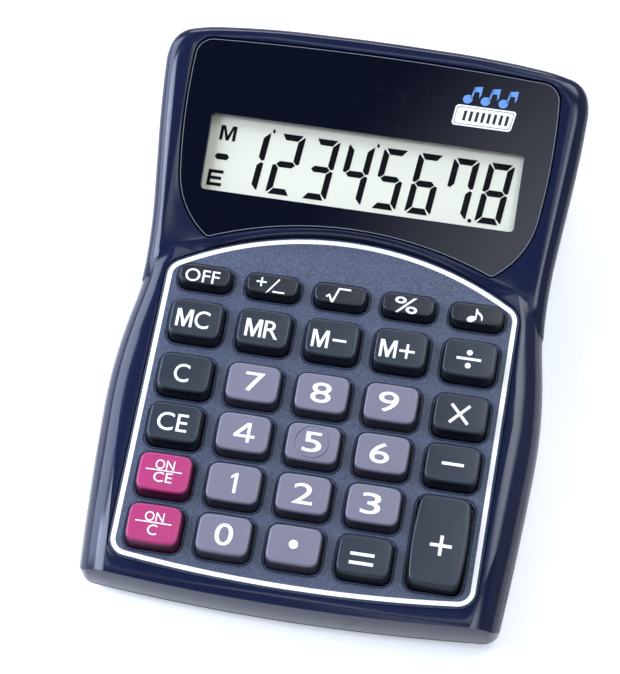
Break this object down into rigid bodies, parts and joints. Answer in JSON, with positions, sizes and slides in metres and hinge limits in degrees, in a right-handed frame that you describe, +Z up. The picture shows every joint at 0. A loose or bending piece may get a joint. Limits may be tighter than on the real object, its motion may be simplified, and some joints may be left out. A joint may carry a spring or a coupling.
{
  "type": "desk calculator",
  "caption": "Desk calculator with a keypad wedge, a tilted display head, sprung keys under a plate and a sliding battery cover.",
  "frame": {"origin": "on the table under the middle of the case, at the level of the feet's lower faces", "axes": "+Z up, +X to the user's right, +Y away from the user towards the display"},
  "size_m": [0.1104, 0.1485, 0.0398],
  "materials": {
    "case": "glossy dark navy",
    "base": "matt dark grey",
    "panel": "fine satin texture, blue-grey",
    "rubber": "matt silicone",
    "board": "phenolic board",
    "resin": "glossy black resin",
    "capacitor": "sleeved can",
    "resistor": "lacquered",
    "lens": "clear moulding printed black behind, polished",
    "lcd_glass": "clear",
    "reflector": "satin film",
    "frame": "matt",
    "ribbon": "film",
    "brass": "bare",
    "cell": "sleeved steel can",
    "steel": "plated spring strip",
    "lead": "insulated wire",
    "screw": "zinc plated",
    "foot": "matt",
    "key_dark": "satin charcoal",
    "key_lilac": "satin lavender-grey",
    "key_magenta": "satin magenta"
  },
  "bodies": {
    "body": {"top_case": "case", "bottom_case": "base", "keypad_panel": "panel", "key_mat": "rubber", "circuit_board": "board", "chip_blob": "resin", "capacitor": "capacitor", "resistors": "resistor", "display_lens": "lens", "lcd_front_glass": "lcd_glass", "lcd_rear_glass": "lcd_glass", "lcd_reflector": "reflector", "lcd_frame": "frame", "lcd_ribbon": "ribbon", "buzzer_disc": "brass", "battery": "cell", "contact_positive": "steel", "contact_negative": "steel", "battery_leads": "lead", "buzzer_leads": "lead", "case_screws": "screw", "board_screws": "screw", "rubber_feet": "foot"},
    "battery_cover": {"battery_cover": "base"},
    "key_off": {"key_off": "key_dark"},
    "key_sign": {"key_sign": "key_dark"},
    "key_root": {"key_root": "key_dark"},
    "key_percent": {"key_percent": "key_dark"},
    "key_note": {"key_note": "key_dark"},
    "key_memory_clear": {"key_memory_clear": "key_dark"},
    "key_memory_recall": {"key_memory_recall": "key_dark"},
    "key_memory_minus": {"key_memory_minus": "key_dark"},
    "key_memory_plus": {"key_memory_plus": "key_dark"},
    "key_divide": {"key_divide": "key_dark"},
    "key_clear": {"key_clear": "key_dark"},
    "key_7": {"key_7": "key_lilac"},
    "key_8": {"key_8": "key_lilac"},
    "key_9": {"key_9": "key_lilac"},
    "key_multiply": {"key_multiply": "key_dark"},
    "key_clear_entry": {"key_clear_entry": "key_dark"},
    "key_4": {"key_4": "key_lilac"},
    "key_5": {"key_5": "key_lilac"},
    "key_6": {"key_6": "key_lilac"},
    "key_minus": {"key_minus": "key_dark"},
    "key_on_clear_entry": {"key_on_clear_entry": "key_magenta"},
    "key_1": {"key_1": "key_lilac"},
    "key_2": {"key_2": "key_lilac"},
    "key_3": {"key_3": "key_lilac"},
    "key_on_clear": {"key_on_clear": "key_magenta"},
    "key_0": {"key_0": "key_lilac"},
    "key_point": {"key_point": "key_lilac"},
    "key_equals": {"key_equals": "key_dark"},
    "key_plus": {"key_plus": "key_dark"}
  },
  "joints": [
    {"name": "battery_cover_slide", "type": "slide", "parent": "body", "child": "battery_cover", "axis": [0, 1, 0], "range_m": [0, 0.022]},
    {"name": "key_off_press", "type": "slide", "parent": "body", "child": "key_off", "axis": [0, 0.0698, -0.9976], "range_m": [0, 0.0012], "stiffness_N_per_m": 350, "springref_m": -0.0012, "deforming": ["key_mat"]},
    {"name": "key_sign_press", "type": "slide", "parent": "body", "child": "key_sign", "axis": [0, 0.0698, -0.9976], "range_m": [0, 0.0012], "stiffness_N_per_m": 350, "springref_m": -0.0012, "deforming": ["key_mat"]},
    {"name": "key_root_press", "type": "slide", "parent": "body", "child": "key_root", "axis": [0, 0.0698, -0.9976], "range_m": [0, 0.0012], "stiffness_N_per_m": 350, "springref_m": -0.0012, "deforming": ["key_mat"]},
    {"name": "key_percent_press", "type": "slide", "parent": "body", "child": "key_percent", "axis": [0, 0.0698, -0.9976], "range_m": [0, 0.0012], "stiffness_N_per_m": 350, "springref_m": -0.0012, "deforming": ["key_mat"]},
    {"name": "key_note_press", "type": "slide", "parent": "body", "child": "key_note", "axis": [0, 0.0698, -0.9976], "range_m": [0, 0.0012], "stiffness_N_per_m": 350, "springref_m": -0.0012, "deforming": ["key_mat"]},
    {"name": "key_memory_clear_press", "type": "slide", "parent": "body", "child": "key_memory_clear", "axis": [0, 0.0698, -0.9976], "range_m": [0, 0.0012], "stiffness_N_per_m": 350, "springref_m": -0.0012, "deforming": ["key_mat"]},
    {"name": "key_memory_recall_press", "type": "slide", "parent": "body", "child": "key_memory_recall", "axis": [0, 0.0698, -0.9976], "range_m": [0, 0.0012], "stiffness_N_per_m": 350, "springref_m": -0.0012, "deforming": ["key_mat"]},
    {"name": "key_memory_minus_press", "type": "slide", "parent": "body", "child": "key_memory_minus", "axis": [0, 0.0698, -0.9976], "range_m": [0, 0.0012], "stiffness_N_per_m": 350, "springref_m": -0.0012, "deforming": ["key_mat"]},
    {"name": "key_memory_plus_press", "type": "slide", "parent": "body", "child": "key_memory_plus", "axis": [0, 0.0698, -0.9976], "range_m": [0, 0.0012], "stiffness_N_per_m": 350, "springref_m": -0.0012, "deforming": ["key_mat"]},
    {"name": "key_divide_press", "type": "slide", "parent": "body", "child": "key_divide", "axis": [0, 0.0698, -0.9976], "range_m": [0, 0.0012], "stiffness_N_per_m": 350, "springref_m": -0.0012, "deforming": ["key_mat"]},
    {"name": "key_clear_press", "type": "slide", "parent": "body", "child": "key_clear", "axis": [0, 0.0698, -0.9976], "range_m": [0, 0.0012], "stiffness_N_per_m": 350, "springref_m": -0.0012, "deforming": ["key_mat"]},
    {"name": "key_7_press", "type": "slide", "parent": "body", "child": "key_7", "axis": [0, 0.0698, -0.9976], "range_m": [0, 0.0012], "stiffness_N_per_m": 350, "springref_m": -0.0012, "deforming": ["key_mat"]},
    {"name": "key_8_press", "type": "slide", "parent": "body", "child": "key_8", "axis": [0, 0.0698, -0.9976], "range_m": [0, 0.0012], "stiffness_N_per_m": 350, "springref_m": -0.0012, "deforming": ["key_mat"]},
    {"name": "key_9_press", "type": "slide", "parent": "body", "child": "key_9", "axis": [0, 0.0698, -0.9976], "range_m": [0, 0.0012], "stiffness_N_per_m": 350, "springref_m": -0.0012, "deforming": ["key_mat"]},
    {"name": "key_multiply_press", "type": "slide", "parent": "body", "child": "key_multiply", "axis": [0, 0.0698, -0.9976], "range_m": [0, 0.0012], "stiffness_N_per_m": 350, "springref_m": -0.0012, "deforming": ["key_mat"]},
    {"name": "key_clear_entry_press", "type": "slide", "parent": "body", "child": "key_clear_entry", "axis": [0, 0.0698, -0.9976], "range_m": [0, 0.0012], "stiffness_N_per_m": 350, "springref_m": -0.0012, "deforming": ["key_mat"]},
    {"name": "key_4_press", "type": "slide", "parent": "body", "child": "key_4", "axis": [0, 0.0698, -0.9976], "range_m": [0, 0.0012], "stiffness_N_per_m": 350, "springref_m": -0.0012, "deforming": ["key_mat"]},
    {"name": "key_5_press", "type": "slide", "parent": "body", "child": "key_5", "axis": [0, 0.0698, -0.9976], "range_m": [0, 0.0012], "stiffness_N_per_m": 350, "springref_m": -0.0012, "deforming": ["key_mat"]},
    {"name": "key_6_press", "type": "slide", "parent": "body", "child": "key_6", "axis": [0, 0.0698, -0.9976], "range_m": [0, 0.0012], "stiffness_N_per_m": 350, "springref_m": -0.0012, "deforming": ["key_mat"]},
    {"name": "key_minus_press", "type": "slide", "parent": "body", "child": "key_minus", "axis": [0, 0.0698, -0.9976], "range_m": [0, 0.0012], "stiffness_N_per_m": 350, "springref_m": -0.0012, "deforming": ["key_mat"]},
    {"name": "key_on_clear_entry_press", "type": "slide", "parent": "body", "child": "key_on_clear_entry", "axis": [0, 0.0698, -0.9976], "range_m": [0, 0.0012], "stiffness_N_per_m": 350, "springref_m": -0.0012, "deforming": ["key_mat"]},
    {"name": "key_1_press", "type": "slide", "parent": "body", "child": "key_1", "axis": [0, 0.0698, -0.9976], "range_m": [0, 0.0012], "stiffness_N_per_m": 350, "springref_m": -0.0012, "deforming": ["key_mat"]},
    {"name": "key_2_press", "type": "slide", "parent": "body", "child": "key_2", "axis": [0, 0.0698, -0.9976], "range_m": [0, 0.0012], "stiffness_N_per_m": 350, "springref_m": -0.0012, "deforming": ["key_mat"]},
    {"name": "key_3_press", "type": "slide", "parent": "body", "child": "key_3", "axis": [0, 0.0698, -0.9976], "range_m": [0, 0.0012], "stiffness_N_per_m": 350, "springref_m": -0.0012, "deforming": ["key_mat"]},
    {"name": "key_on_clear_press", "type": "slide", "parent": "body", "child": "key_on_clear", "axis": [0, 0.0698, -0.9976], "range_m": [0, 0.0012], "stiffness_N_per_m": 350, "springref_m": -0.0012, "deforming": ["key_mat"]},
    {"name": "key_0_press", "type": "slide", "parent": "body", "child": "key_0", "axis": [0, 0.0698, -0.9976], "range_m": [0, 0.0012], "stiffness_N_per_m": 350, "springref_m": -0.0012, "deforming": ["key_mat"]},
    {"name": "key_point_press", "type": "slide", "parent": "body", "child": "key_point", "axis": [0, 0.0698, -0.9976], "range_m": [0, 0.0012], "stiffness_N_per_m": 350, "springref_m": -0.0012, "deforming": ["key_mat"]},
    {"name": "key_equals_press", "type": "slide", "parent": "body", "child": "key_equals", "axis": [0, 0.0698, -0.9976], "range_m": [0, 0.0012], "stiffness_N_per_m": 350, "springref_m": -0.0012, "deforming": ["key_mat"]},
    {"name": "key_plus_press", "type": "slide", "parent": "body", "child": "key_plus", "axis": [0, 0.0698, -0.9976], "range_m": [0, 0.0012], "stiffness_N_per_m": 350, "springref_m": -0.0012, "deforming": ["key_mat"]}
  ]
}
